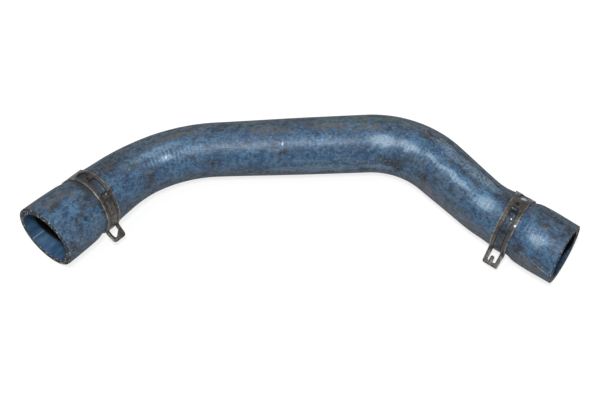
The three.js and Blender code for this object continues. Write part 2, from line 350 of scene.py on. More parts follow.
def kind_of_face(face):
    if abs(face.normal.x) > CUT_LOOKS_ALONG:
        return CUT
    radial = Vector((0, face.center.y, face.center.z))
    return BORE if face.normal.dot(radial) < 0 else OUTSIDE


def keep_shape(piece, name):
    """Writes each vertex's present place to an attribute, for the finishes."""
    kept = piece.data.attributes.new(name, "FLOAT_VECTOR", "POINT")
    values = [component for vertex in piece.data.vertices for component in vertex.co]
    kept.data.foreach_set("vector", values)


for face in hose.data.polygons:
    face.material_index = kind_of_face(face)
keep_shape(hose, "straight")
print("cut faces", sum(face.material_index == CUT for face in hose.data.polygons))

# %% Bend the hose along its route
bend_along(hose, path_object("hose_route", ROUTE))
hose.data.shade_smooth()
for corner in (hose.bound_box[0], hose.bound_box[6]):
    print("hose box corner", [round(value, 4) for value in corner])

# %% [markdown]
# A spring band clamp is one strip of steel. One half is a fork: a wide tang that is turned outwards,
# then two rails with a window between them. The other half narrows to a tongue, which runs through
# that window and ends in a small turned-out tab. Pressed together, tang and tab open the ring.
# A tang points so many degrees below the front. All other angles count from the tang, along the
# fork and on round the back, and the tongue's tip lies so far past one whole turn.

# %% Sizes of the clamps
WINDOW_WIDTH = 6.4 * MM
TONGUE_WIDTH = 5.6 * MM
FOLD_RADIUS = 2.4 * MM
TIP_CORNER = 1.3 * MM
WINDOW_CORNER = 2.2 * MM
SLOT_CORNER = 2.4 * MM
FORK_END, BACK_START, BACK_END, TONGUE_START = 156, 174, 300, 328
LEFT = {
    "fork_width": 11.6 * MM, "tang_below": 22, "tang_height": 10.6 * MM, "tang_end_width": 10.2 * MM,
    "tang_corner": 2.4 * MM, "window_end": 118, "tip": 83, "tip_height": 12 * MM, "slot": (127, 149),
}
RIGHT = {
    "fork_width": 13.4 * MM, "tang_below": 27, "tang_height": 12.2 * MM, "tang_end_width": 12.2 * MM,
    "tang_corner": 1.3 * MM, "window_end": 118, "tip": 106, "tip_height": 9 * MM, "slot": (140, 184),
}
# The window's outer end, from the side of the left mouth: along, across and corner radius in mm.
LEFT["window_corners"] = [(5.4, 3.2, 2.0), (3.0, 2.6, 0.9), (3.0, 1.0, 0.6), (6.6, -3.2, 1.0)]
RIGHT["window_corners"] = [
    (3.0, 3.2, 0.9), (3.0, 2.0, 0.2), (7.4, 2.0, 1.45),
    (7.4, -1.0, 1.45), (3.0, -1.0, 0.2), (3.0, -3.2, 0.9),
]


# %% The strip's middle line, rolled up
class Ring:
    """The line of one clamp in its own plane: angles from the tang, distances along the strip."""

    def __init__(self, clamp, place):
        self.clamp = clamp
        self.radius = seat_radius(place) + CLAMP_GAP + BAND_THICKNESS / 2
        reach = self.radius + FOLD_RADIUS
        self.fold = math.asin(FOLD_RADIUS / reach)
        self.fold_rise = math.sqrt(reach ** 2 - FOLD_RADIUS ** 2)
        self.foot = self.radius + clamp["tang_height"] - self.fold_rise
        self.arc_start = self.foot + FOLD_RADIUS * (math.pi / 2 - self.fold)

    def at(self, degrees):
        """Distance along the flat strip of an angle on the ring."""
        return self.arc_start + self.radius * (math.radians(degrees) - self.fold)

    def length(self):
        arc_end = self.at(360 + self.clamp["tip"]) - self.radius * self.fold
        tip = self.radius + self.clamp["tip_height"] - self.fold_rise
        return arc_end + FOLD_RADIUS * (math.pi / 2 - self.fold) + tip

    def place(self, radius, sideways, degrees):
        turn = Matrix.Rotation(math.radians(degrees - self.clamp["tang_below"]), 3, "Z")
        return turn @ Vector((radius, sideways, 0))

    def path(self):
        axis = Vector((0, 0, 1))
        tip = 360 + self.clamp["tip"]
        quarter = math.pi / 2 - self.fold
        path = start_path(self.place(self.radius + self.clamp["tang_height"], 0, 0))
        run_to(path, self.place(self.fold_rise, 0, 0))
        bend_about(path, self.place(self.fold_rise, FOLD_RADIUS, 0), axis, -quarter)
        bend_about(path, Vector((0, 0, 0)), axis, math.radians(tip) - 2 * self.fold)
        bend_about(path, self.place(self.fold_rise, -FOLD_RADIUS, tip), axis, -quarter)
        run_to(path, self.place(self.radius + self.clamp["tip_height"], 0, tip))
        return path


print("strip lengths", Ring(LEFT, LEFT_PLACE).length(), Ring(RIGHT, RIGHT_PLACE).length())

# %% [markdown]
# The strip is drawn flat, as the punch cuts it: an outer outline, the window with the tooth that
# stands into it, and a short slot. A filled curve turns outlines into a plate with holes. Corners
# are given with a radius, because the real strip has hardly a sharp one.

# %% Outlines with rounded corners
CORNER_STEPS = 5
TAPER_STEP = 3


def rounded_outline(corners):
    """Turns corners, each a place and a radius, into the points of a closed line."""
    points = []
    for i, (x, y, radius) in enumerate(corners):
        here = Vector((x, y))
        back = (Vector(corners[i - 1][:2]) - here).normalized()
        onwards = (Vector(corners[(i + 1) % len(corners)][:2]) - here).normalized()
        if radius == 0:
            points.append(here)
            continue
        half = back.angle(onwards) / 2
        centre = here + (back + onwards).normalized() * radius / math.sin(half)
        start = here + back * radius / math.tan(half) - centre
        end = here + onwards * radius / math.tan(half) - centre
        for step in range(CORNER_STEPS + 1):
            points.append(centre + start.lerp(end, step / CORNER_STEPS).normalized() * radius)
    return points


def strip_outline(ring):
    clamp = ring.clamp
    fork = clamp["fork_width"]
    widths = [(0, fork), (FORK_END, fork), (BACK_START, BAND_WIDTH), (BACK_END, BAND_WIDTH)]
    widths.append((TONGUE_START, TONGUE_WIDTH))
    edge = [(0, clamp["tang_end_width"] / 2, clamp["tang_corner"]), (ring.foot, fork / 2, 0)]
    angles = range(FORK_END, TONGUE_START + TAPER_STEP + 1, TAPER_STEP)
    edge += [(ring.at(degrees), ease(widths, degrees) / 2, 0) for degrees in angles]
    edge.append((ring.length(), TONGUE_WIDTH / 2, TIP_CORNER))
    return rounded_outline(edge + [(x, -half, radius) for x, half, radius in reversed(edge)])


def window_outline(ring):
    half = WINDOW_WIDTH / 2
    end = ring.at(ring.clamp["window_end"])
    corners = [tuple(value * MM for value in corner) for corner in ring.clamp["window_corners"]]
    return rounded_outline([*corners, (end, -half, WINDOW_CORNER), (end, half, WINDOW_CORNER)])


def slot_outline(ring):
    half = WINDOW_WIDTH / 2
    start, end = (ring.at(degrees) for degrees in ring.clamp["slot"])
    sides = ((start, -half), (start, half), (end, half), (end, -half))
    return rounded_outline([(x, y, SLOT_CORNER) for x, y in sides])


# %% Cut the flat strip
def flat_strip(name, ring):
    curve = bpy.data.curves.new(name, "CURVE")
    curve.dimensions = "2D"
    curve.fill_mode = "BOTH"
    curve.extrude = BAND_THICKNESS / 2
    for outline in (strip_outline(ring), window_outline(ring), slot_outline(ring)):
        spline = curve.splines.new("POLY")
        spline.points.add(len(outline) - 1)
        for point, (x, y) in zip(spline.points, outline):
            point.co = (x, y, 0, 1)
        spline.use_cyclic_u = True
    piece = bpy.data.objects.new(name, curve)
    bpy.context.scene.collection.objects.link(piece)
    activate(piece)
    bpy.ops.object.convert(target="MESH")
    return bpy.context.active_object


# %% [markdown]
# The plate's edges are broken with a bevel, which gets a material of its own, because the edges of
# the real strip are worn bright. Then the plate is sliced across every millimetre and a half, so
# that it can bend, and it is rolled along its middle line by a Curve modifier.

# %% Slice the strip and roll it
SLICE = 1.5 * MM
FACE, EDGE = 0, 1


def roll(piece, ring):
    activate(piece)
    bpy.ops.object.mode_set(mode="EDIT")
    bpy.ops.mesh.select_all(action="SELECT")
    bpy.ops.mesh.remove_doubles(threshold=1e-6)
    bpy.ops.mesh.dissolve_limited(angle_limit=math.radians(0.5))
    bpy.ops.mesh.normals_make_consistent(inside=False)
    bpy.ops.object.mode_set(mode="OBJECT")
    modify(piece, "BEVEL", width=0.22 * MM, segments=2, limit_method="ANGLE",
           angle_limit=math.radians(60), material=EDGE)
    bpy.ops.object.mode_set(mode="EDIT")
    for i in range(1, int(ring.length() / SLICE)):
        bpy.ops.mesh.select_all(action="SELECT")
        bpy.ops.mesh.bisect(plane_co=(i * SLICE, 0, 0), plane_no=(1, 0, 0))
    bpy.ops.object.mode_set(mode="OBJECT")
    piece.rotation_euler.x = math.pi / 2
    bpy.ops.object.transform_apply(location=True, rotation=True, scale=True)
    keep_shape(piece, "flat")
    bend_along(piece, path_object("ring_line", ring.path()))


# %% [markdown]
# A clamp is rolled about its own Z axis. It leans as the hose's section leans below it, by sliding
# its parts along the hose. Then it is set on its leg, X to the front, Y up, Z to the left mouth.

# %% Set the clamps on the hose
def leg_matrix(start, end, distance):
    """Where a clamp goes: on the leg from start to end, so far along it."""
    along = (end - start).normalized()
    front = along.cross(Vector((0, 0, 1))).normalized()
    axes = Matrix((front, front.cross(along), -along)).transposed().to_4x4()
    return Matrix.Translation(start + along * distance + ORIGIN) @ axes


def clamp_piece(name, clamp, place, lean, seat):
    ring = Ring(clamp, place)
    piece = flat_strip(name, ring)
    for _ in (FACE, EDGE):
        piece.data.materials.append(None)
    roll(piece, ring)
    top, front = (math.radians(angle) for angle in lean)
    leaned = Matrix.Identity(4)
    leaned[2][0], leaned[2][1] = -math.tan(front), -math.tan(top)
    piece.data.transform(leaned)
    piece.matrix_world = seat
    activate(piece)
    bpy.ops.object.transform_apply(location=True, rotation=True, scale=True)
    bpy.ops.object.shade_smooth_by_angle(angle=math.radians(35))
    print(name, "faces", len(piece.data.polygons), "radius", round(ring.radius, 5))
    return piece


left_seat = leg_matrix(LEFT_MOUTH, FIRST_BEND, LEFT_PLACE)
right_seat = leg_matrix(THIRD_BEND, RIGHT_MOUTH, (RIGHT_MOUTH - THIRD_BEND).length - RIGHT_FROM_END)
left_clamp = clamp_piece("left_band_clamp", LEFT, LEFT_PLACE, LEFT_LEAN, left_seat)
right_clamp = clamp_piece("right_band_clamp", RIGHT, RIGHT_PLACE, RIGHT_LEAN, right_seat)

# %% [markdown]
# Finishes are node trees, and a few helpers keep them readable. add_node makes a node, sets its
# properties and fills its sockets: with a value, or with a link where it is given a socket.

# %% Colours and nodes
def srgb(red, green, blue):
    """A colour of a picture, 0 to 255 each, as the linear colour that a shader takes."""
    parts = [value / 255 for value in (red, green, blue)]
    return (*((v / 12.92 if v <= 0.04045 else ((v + 0.055) / 1.055) ** 2.4) for v in parts), 1.0)


def add_node(tree, kind, sockets=None, **settings):
    node = tree.nodes.new(kind)
    for key, value in settings.items():
        setattr(node, key, value)
    for key, value in (sockets or {}).items():
        if isinstance(value, bpy.types.NodeSocket):
            tree.links.new(value, node.inputs[key])
        else:
            node.inputs[key].default_value = value
    return node


def calculate(tree, operation, *values):
    node = add_node(tree, "ShaderNodeMath", dict(enumerate(values)), operation=operation)
    return node.outputs[0]


# %% Patterns and mixing
def noise(tree, vector, scale, detail=4.0, roughness=0.55):
    sockets = {"Vector": vector, "Scale": scale, "Detail": detail, "Roughness": roughness}
    return add_node(tree, "ShaderNodeTexNoise", sockets).outputs["Fac"]


def stretched(tree, vector, scale, place=(0, 0, 0)):
    sockets = {"Vector": vector, "Scale": scale, "Location": place}
    return add_node(tree, "ShaderNodeMapping", sockets).outputs[0]


def between(tree, value, low, high, top=1.0):
    """Rises smoothly from 0 at low to top at high; low may be above high."""
    sockets = {"Value": value, "From Min": min(low, high), "From Max": max(low, high),
               "To Min": 0.0 if low < high else top, "To Max": top if low < high else 0.0}
    return add_node(tree, "ShaderNodeMapRange", sockets, interpolation_type="SMOOTHSTEP").outputs[0]


def blend(tree, factor, first, second):
    """Mixes two colours. A Mix node has sockets for every kind of data: 6 and 7 take colours."""
    node = add_node(tree, "ShaderNodeMix", data_type="RGBA")
    for index, value in ((0, factor), (6, first), (7, second)):
        if isinstance(value, bpy.types.NodeSocket):
            tree.links.new(value, node.inputs[index])
        else:
            node.inputs[index].default_value = value
    return node.outputs[2]


# %% Start a finish and connect its shader
def new_finish(name):
    material = bpy.data.materials.new(name)
    material.use_nodes = True
    return material, material.node_tree, material.node_tree.nodes["Principled BSDF"]


def kept_shape(tree, name):
    return add_node(tree, "ShaderNodeAttribute", attribute_name=name).outputs["Vector"]


def connect(tree, shader, colour=None, roughness=None, height=None, depth=0.1 * MM, metallic=None):
    for key, value in (("Base Color", colour), ("Roughness", roughness), ("Metallic", metallic)):
        if value is not None:
            tree.links.new(value, shader.inputs[key])
    if height is not None:
        sockets = {"Strength": 1.0, "Distance": depth, "Height": height}
        bump = add_node(tree, "ShaderNodeBump", sockets)
        tree.links.new(bump.outputs[0], shader.inputs["Normal"])


# %% [markdown]
# Dirt on a hose has its places, which are best named as a mechanic would: so far from the left
# mouth, and so far round, from 0 degrees at the front over 90 at the top to 180 at the back. Both
# come from the straight shape. Noise shifts them a little, so that no edge of a stain is drawn.

# %% Places on the skin
def skin_places(tree, shape, wobble_along, wobble_round):
    """Place in mm and turn in degrees, which noise shifts by up to about half of each wobble."""
    sides = add_node(tree, "ShaderNodeSeparateXYZ", {0: shape}).outputs
    front = calculate(tree, "MULTIPLY", sides["Y"], -1.0)
    turn = calculate(tree, "ARCTAN2", sides["Z"], front)
    elsewhere = stretched(tree, shape, (1, 1, 1), (3, 5, 7))
    drift = calculate(tree, "SUBTRACT", noise(tree, shape, 90, 5, 0.65), 0.5)
    swing = calculate(tree, "SUBTRACT", noise(tree, elsewhere, 110, 5, 0.65), 0.5)
    millimetres = calculate(tree, "DIVIDE", sides["X"], MM)
    along = calculate(tree, "MULTIPLY_ADD", drift, wobble_along, millimetres)
    degrees = calculate(tree, "DEGREES", turn)
    return along, calculate(tree, "MULTIPLY_ADD", swing, wobble_round, degrees)


def patch(tree, along, turn, place, reach, degrees, spread):
    """A soft oval on the skin: 1 in its middle, 0 at its rim."""
    across = calculate(tree, "MULTIPLY_ADD", along, 1 / reach, -place / reach)
    around = calculate(tree, "MULTIPLY_ADD", turn, 1 / spread, -degrees / spread)
    squares = [calculate(tree, "MULTIPLY", value, value) for value in (across, around)]
    return between(tree, calculate(tree, "ADD", *squares), 1.0, 0.1)


def stroke(tree, along, turn, start, end, width):
    """A thin line on the skin, from one place to another."""
    slope = (end[1] - start[1]) / (end[0] - start[0])
    line = calculate(tree, "MULTIPLY_ADD", along, slope, start[1] - slope * start[0])
    off = calculate(tree, "ABSOLUTE", calculate(tree, "SUBTRACT", turn, line))
    ends = calculate(tree, "MINIMUM", between(tree, along, start[0], start[0] + 3),
                     between(tree, along, end[0], end[0] - 3))
    return calculate(tree, "MULTIPLY", between(tree, off, width, width * 0.3), ends)


def largest(tree, values):
    total = values[0]
    for value in values[1:]:
        total = calculate(tree, "MAXIMUM", total, value)
    return total


def covered(tree, draw, along, turn, places):
    """Where any of the places on the skin is: 1 in their middles, 0 outside."""
    return largest(tree, [draw(tree, along, turn, *place) for place in places])


# %% [markdown]
# The rubber is steel blue, but on a used hose it shows only in part. Navy and grey mottling of 1 to
# 3 mm covers it all, it darkens along the back and the underside, partly with oily grime and partly
# as painted shade towards the edges, and there are smudges, polished patches and scratches. The
# polished patches are also painted paler along the highlight, a few patches paint nearly white
# highlights on the bends, and others paint shade below the clamps' windows. Each patch below is a
# soft oval: a place and a reach in mm, then an angle and a spread. Each scratch runs from one place
# and angle to another, so many degrees wide. Dark patches thicken the grime and smudges lie over it,
# and the clean ones keep it thin.

# %% Stains, painted highlights and painted shade of this hose
# Two of these, (43, 9, 96, 30) and (386, 9, 96, 30), paint shade below the clamps' windows; the rest
# are grime.
DARK_PATCHES = [
    (43, 9, 96, 30), (9, 17, 106, 20), (34, 7, 74, 20), (20, 8, 54, 12), (7, 10, 10, 26),
    (41, 3, 38, 34), (78, 14, 76, 14), (86, 9, 30, 16), (104, 16, 114, 16), (144, 10, 30, 12),
    (195, 8, 42, 12), (280, 22, 18, 18), (318, 14, 26, 16), (386, 9, 96, 30), (350, 24, 22, 14),
    (403, 8, 16, 20), (421, 10, 112, 12), (422, 8, 10, 18), (304, 22, 38, 18), (336, 22, 42, 14),
    (352, 18, 88, 9),
]
SPECKLED_PATCHES = [
    (304, 14, 104, 16), (342, 26, 100, 18), (375, 12, 98, 22), (280, 22, 20, 20), (60, 24, 100, 26),
]
BROWN_PATCHES = [
    (17, 12, 102, 11), (28, 6, 90, 9), (186, 26, 92, 12), (232, 22, 94, 10), (258, 16, 90, 10),
    (62, 12, 100, 14), (120, 26, 100, 12), (300, 16, 108, 8), (414, 7, 86, 12), (419, 5, 2, 12),
]
SCUFFED_PATCHES = [(330, 30, -2, 32), (362, 30, -4, 32), (412, 18, -6, 28), (190, 60, -22, 20)]
HAZY_PATCHES = [
    (322, 20, 103, 13), (350, 28, 106, 18), (100, 26, 80, 10), (216, 44, 2, 12), (268, 22, 4, 9),
]
LIMY_PATCHES = [
    (10, 14, 26, 46), (32, 12, 30, 30), (300, 30, 112, 16), (350, 34, 108, 16), (240, 60, 20, 18),
]
# Painted highlights: patches on the bends and the right cuff, where the lamps' highlight falls,
# painted nearly white.
PAINTED_HIGHLIGHT_PATCHES = [
    (270, 18, 61, 20), (293, 16, 63, 14), (316, 10, 68, 8), (368, 11, 68, 22), (414, 11, 56, 15),
    (106, 10, 57, 10), (338, 26, 68, 9),
]
GREEN_PATCHES = [(173, 9, 121, 10), (230, 10, 120, 10), (262, 22, 114, 10)]
CLEAN_PATCHES = [
    (106, 20, 56, 20), (130, 14, 62, 12), (168, 44, 58, 15), (164, 12, 28, 16), (222, 26, 64, 13),
    (276, 10, 68, 13), (296, 9, 72, 14), (314, 8, 76, 14), (340, 14, 74, 14), (363, 11, 84, 16),
    (408, 14, 66, 20), (14, 12, 66, 12),
]
RIPPLED_PATCHES = [(112, 38, 58, 50), (225, 30, 62, 40), (325, 80, 74, 50), (408, 24, 66, 50)]
# A white fleck at 195 mm, then painted light: a glint on the first bend and the bright gap below the
# right clamp's slot.
WHITE_FLECK_AND_PAINTED_GLINTS = [(195, 1.2, 62, 4), (106, 1.6, 58, 4), (387, 2.1, 126, 9)]
# Polished patches: smoother rubber, painted paler along the highlight of the upper front.
POLISHED_AND_HIGHLIT_PATCHES = [
    (106, 22, 57, 16), (126, 18, 62, 12), (226, 36, 63, 12), (276, 22, 66, 18), (298, 18, 68, 16),
    (318, 18, 70, 15), (342, 22, 71, 15), (366, 16, 70, 20), (408, 17, 66, 26),
]
# Painted shade on the rubber in the clamps' windows.
SHADED_PATCHES = [(43, 9, 98, 58), (386, 8, 86, 30)]
SMUDGE_PATCHES = [
    (34, 5, 74, 14), (28, 4, 62, 7), (20, 6, 54, 10), (40, 3, 38, 26), (12, 8, 92, 8), (8, 5, 14, 16),
    (86, 7, 28, 12), (146, 8, 30, 10), (196, 6, 42, 9), (284, 12, 14, 12), (318, 10, 24, 10),
    (402, 5, 14, 12), (416, 10, 112, 8), (30, 8, 76, 5), (24, 4, 44, 8), (16, 5, 34, 6),
    (428, 4, 96, 20), (412, 9, 88, 7), (421, 8, 78, 5), (406, 6, 30, 7),
]
PALE_SCRATCHES = [((404, 19), (431, 8), 2.4), ((306, 116), (317, 114), 1.0)]
DARK_SCRATCHES = [
    ((399, 24), (424, 9), 2.4), ((401, 31), (420, 22), 1.4), ((412, 118), (430, 110), 1.8),
]
print("smudges", len(SMUDGE_PATCHES), "polished patches", len(POLISHED_AND_HIGHLIT_PATCHES))

# %% [markdown]
# The mottling is noise at several scales, laid one over another: broad clouds, then navy and grey
# flecks, then the finest specks. Grime is a threshold on a noise of its own. The back, the underside
# and the smudges raise that noise, so the rubber is darkest there and its rim stays ragged: partly
# grime, partly painted shade towards the edges of the hose and below the clamps' windows.

# %% Blue rubber, its grime and painted shade
def rubber_mottling(tree, shape):
    """Steel blue, clouded with navy and grey at several sizes."""
    broad = between(tree, noise(tree, shape, 80, 5, 0.65), 0.38, 0.62)
    wide = blend(tree, broad, srgb(43, 88, 129), srgb(76, 122, 160))
    cloud = noise(tree, shape, 330, 4, 0.66)
    navy = blend(tree, between(tree, cloud, 0.56, 0.38, 0.78), wide, srgb(28, 48, 74))
    grey = noise(tree, stretched(tree, shape, (0.7, 1, 1), (2, 0, 4)), 480, 4, 0.66)
    hazed = blend(tree, between(tree, grey, 0.5, 0.68, 0.75), navy, srgb(108, 140, 164))
    specks = noise(tree, stretched(tree, shape, (1, 1, 1), (6, 3, 1)), 900, 3, 0.6)
    return blend(tree, between(tree, specks, 0.48, 0.34, 0.6), hazed, srgb(26, 40, 60))


def grime_and_shade_cover(tree, shape, along, turn, clean):
    """How much grime and painted shade lies where: darker along the back and the underside, as grime
    and as painted shade towards the edges, and in smudges elsewhere, two of which paint shade below
    the clamps' windows.
    """
    # Darker towards the back and the underside: grime there, and painted shade where the hose turns
    # away towards its edges.
    back = between(tree, turn, 80, 116, 0.25)
    under = between(tree, turn, 24, -16, 0.21)
    smudges = covered(tree, patch, along, turn, DARK_PATCHES)
    heavier = largest(tree, [back, under, calculate(tree, "MULTIPLY", smudges, 0.17)])
    more = calculate(tree, "MULTIPLY_ADD", clean, -0.14, heavier)
    return calculate(tree, "ADD", noise(tree, shape, 350, 8, 0.75), more)


# %% [markdown]
# A stain is an oval times a fine noise, so that it breaks up towards its rim. Only the small marks,
# such as scratches, stay whole. Where the rubber is polished it is paler, which also paints the
# highlight along the upper front, and painted highlights lie nearly white on the bends. The ripples
# that the yarn in the wall leaves are bands across the straight hose, and they show in the relief
# alone.

# %% Stains, polish, painted highlights and relief
RIPPLE_SCALE = 98.2


def tinted(tree, colour, mask, shape, tint, share, grain):
    """Lays a ragged stain, or a ragged painted highlight, over a colour."""
    ragged = between(tree, noise(tree, shape, grain, 7, 0.75), 0.36, 0.62, share)
    return blend(tree, calculate(tree, "MULTIPLY", mask, ragged), colour, tint)


def stains_and_painted_light(tree, colour, shape, along, turn):
    """Ragged stains first, then fine scuffs all over, then the sharper marks, among them painted
    shade in the clamps' windows and painted glints.
    """
    for places, tint, share, grain in (
        (BROWN_PATCHES, srgb(98, 96, 90), 0.9, 260),
        (GREEN_PATCHES, srgb(84, 112, 84), 0.85, 420),
        (SMUDGE_PATCHES, srgb(22, 28, 36), 1.0, 420),
        (SPECKLED_PATCHES, srgb(18, 24, 34), 0.95, 700),
        (SCUFFED_PATCHES, srgb(92, 90, 90), 0.95, 560),
        (HAZY_PATCHES, srgb(126, 157, 184), 0.8, 620),
    ):
        mask = covered(tree, patch, along, turn, places)
        colour = tinted(tree, colour, mask, shape, tint, share, grain)
    fine = noise(tree, stretched(tree, shape, (0.5, 1, 1)), 760, 6, 0.75)
    limy = covered(tree, patch, along, turn, LIMY_PATCHES)
    fine = calculate(tree, "MULTIPLY_ADD", limy, 0.09, fine)
    colour = blend(tree, between(tree, fine, 0.6, 0.74, 0.65), colour, srgb(146, 160, 172))
    # Painted shade in the clamps' windows, scratches, then a white fleck and painted glints.
    for draw, places, tint, share in (
        (patch, SHADED_PATCHES, srgb(36, 42, 47), 0.9),
        (stroke, PALE_SCRATCHES, srgb(160, 172, 182), 0.85),
        (stroke, DARK_SCRATCHES, srgb(34, 36, 42), 0.8),
        (patch, WHITE_FLECK_AND_PAINTED_GLINTS, srgb(214, 222, 228), 0.9),
    ):
        mask = covered(tree, draw, along, turn, places)
        colour = blend(tree, calculate(tree, "MULTIPLY", mask, share), colour, tint)
    return colour


def polish_and_painted_highlights(tree, colour, shape, polished_and_highlit, glow):
    """Polished rubber is paler, which also paints the highlight along it, and painted highlights lie
    nearly white on the bends.
    """
    colour = blend(tree, calculate(tree, "MULTIPLY", polished_and_highlit, 0.2), colour, srgb(100, 148, 188))
    # Painted highlight: nearly white at the peaks of these patches.
    peak = calculate(tree, "POWER", glow, 3.0)
    colour = blend(tree, calculate(tree, "MULTIPLY", peak, 0.16), colour, srgb(160, 198, 228))
    return tinted(tree, colour, peak, shape, srgb(200, 226, 244), 0.4, 820)


def skin_relief(tree, shape, rippled):
    """Fine grain, and the ripples that the yarn of the wall leaves across the hose."""
    sockets = {"Vector": shape, "Scale": RIPPLE_SCALE, "Distortion": 2.6, "Detail": 3.0,
               "Detail Scale": 2.0}
    bands = add_node(tree, "ShaderNodeTexWave", sockets, wave_type="BANDS", bands_direction="X")
    depth = calculate(tree, "MULTIPLY_ADD", rippled, 0.3, 0.05)
    ripple = calculate(tree, "MULTIPLY", bands.outputs["Fac"], depth)
    return calculate(tree, "MULTIPLY_ADD", noise(tree, shape, 460, 7, 0.7), 1.3, ripple)


# %% [markdown]
# The outside takes all of this together. Grime is rough and polished rubber smooth, so its roughness
# follows the same masks as its colour. Inside, the bore is blue near the mouths and painted nearly
# black farther in, as the shadow of the rims, and the cuts show the white ends of yarn in dark
# rubber.

# %% Outside of the hose
def outside_finish():
    material, tree, shader = new_finish("blue_rubber")
    shape = kept_shape(tree, "straight")
    loose = skin_places(tree, shape, 26, 80)
    exact = skin_places(tree, shape, 8, 24)
    clean = covered(tree, patch, *loose, CLEAN_PATCHES)
    # Polished rubber is smoother, and its paler colour paints the highlight along the upper front.
    polished_and_highlit = covered(tree, patch, *exact, POLISHED_AND_HIGHLIT_PATCHES)
    # This mask carries both the grime and the painted shade along the back and the underside.
    grime_and_shade = between(tree, grime_and_shade_cover(tree, shape, *loose, clean), 0.42, 0.8, 0.8)
    kind = noise(tree, stretched(tree, shape, (0.6, 1, 1), (9, 2, 1)), 320, 5, 0.72)
    soil = blend(tree, between(tree, kind, 0.4, 0.6), srgb(36, 47, 60), srgb(94, 99, 102))
    colour = blend(tree, grime_and_shade, rubber_mottling(tree, shape), soil)
    colour = stains_and_painted_light(tree, colour, shape, *exact)
    glow = covered(tree, patch, *exact, PAINTED_HIGHLIGHT_PATCHES)
    colour = polish_and_painted_highlights(tree, colour, shape, polished_and_highlit, glow)
    gloss = calculate(tree, "MULTIPLY_ADD", largest(tree, [clean, polished_and_highlit]), -0.12, 0.44)
    roughness = calculate(tree, "MULTIPLY_ADD", grime_and_shade, 0.4, gloss)
    relief = skin_relief(tree, shape, covered(tree, patch, *loose, RIPPLED_PATCHES))
    connect(tree, shader, colour, roughness, relief, 0.3 * MM)
    shader.inputs["Specular IOR Level"].default_value = 0.6
    return material


# %% Bore and cuts
MOULD_LINE_TURN = -132
# Depths past which the bore is painted dark, as the shadow of its rims.
LEFT_BORE_SHADOW = (12 * MM, 14.5 * MM)
RIGHT_BORE_SHADOW = (LENGTH - 6.5 * MM, LENGTH - 8.5 * MM)


def bore_finish():
    """Blue near the mouths, and painted shadow of the rims, nearly black, farther inside."""
    material, tree, shader = new_finish("bore_rubber")
    shape = kept_shape(tree, "straight")
    along, sideways, _ = add_node(tree, "ShaderNodeSeparateXYZ", {0: shape}).outputs
    earlier_shadow = calculate(tree, "MULTIPLY", calculate(tree, "ABSOLUTE", sideways), 0.35)
    from_left = calculate(tree, "ADD", along, earlier_shadow)
    from_right = calculate(tree, "SUBTRACT", along, earlier_shadow)
    streaks = noise(tree, stretched(tree, shape, (0.25, 1, 1)), 200, 6, 0.65)
    colour = blend(tree, between(tree, streaks, 0.35, 0.65), srgb(46, 78, 110), srgb(76, 112, 146))
    # Painted shadow: nearly black past those depths, starting sooner off the middle of the bore.
    inside = calculate(tree, "MINIMUM", between(tree, from_left, *LEFT_BORE_SHADOW),
                       between(tree, from_right, *RIGHT_BORE_SHADOW))
    _, turn = skin_places(tree, shape, 0, 0)
    off_line = calculate(tree, "ABSOLUTE", calculate(tree, "ADD", turn, -MOULD_LINE_TURN))
    mould_line = between(tree, off_line, 2.2, 0.8, 0.5)
    colour = blend(tree, mould_line, colour, srgb(150, 176, 200))
    colour = blend(tree, inside, colour, srgb(8, 9, 11))
    connect(tree, shader, colour, None, streaks, 0.15 * MM)
    shader.inputs["Roughness"].default_value = 0.6
    shader.inputs["Specular IOR Level"].default_value = 0.25
    return material


def cut_finish():
    """Dark cut rubber with the white ends of cut yarn and chips."""
    material, tree, shader = new_finish("cut_rubber")
    shape = kept_shape(tree, "straight")
    uneven = between(tree, noise(tree, shape, 380, 5), 0.38, 0.62)
    colour = blend(tree, uneven, srgb(18, 21, 28), srgb(50, 58, 68))
    chips = between(tree, noise(tree, shape, 560, 3, 0.6), 0.59, 0.62)
    colour = blend(tree, chips, colour, srgb(222, 222, 218))
    connect(tree, shader, colour, None, noise(tree, shape, 600, 5, 0.7), 0.5 * MM)
    shader.inputs["Roughness"].default_value = 0.8
    return material


for kind, finish in ((OUTSIDE, outside_finish()), (BORE, bore_finish()), (CUT, cut_finish())):
    hose.data.materials[kind] = finish
print("hose finishes", [slot.name for slot in hose.data.materials])

# %% [markdown]
# The clamps are spring steel with a brown-black oxide coat, greasy and pitted. The coat has gone
# from the outer edges, where the bare steel shows. The right tongue is darker and bluish. The pits
# are painted dark as the shade in their dimples, and the glints are painted highlights. The flat
# attribute has the distance along the strip and the place across it, so marks are set by them.

# %% Spring steel
def marks_on_strip(tree, ring, along, across, marks):
    """Small round marks on the flat strip: each an angle on the ring, a place across and a radius."""
    masks = []
    for degrees, middle, radius in marks:
        first = calculate(tree, "SUBTRACT", along, ring.at(degrees))
        second = calculate(tree, "SUBTRACT", across, middle * MM)
        squares = [calculate(tree, "MULTIPLY", value, value) for value in (first, second)]
        masks.append(between(tree, calculate(tree, "ADD", *squares), (radius * MM) ** 2, 0))
    return largest(tree, masks)


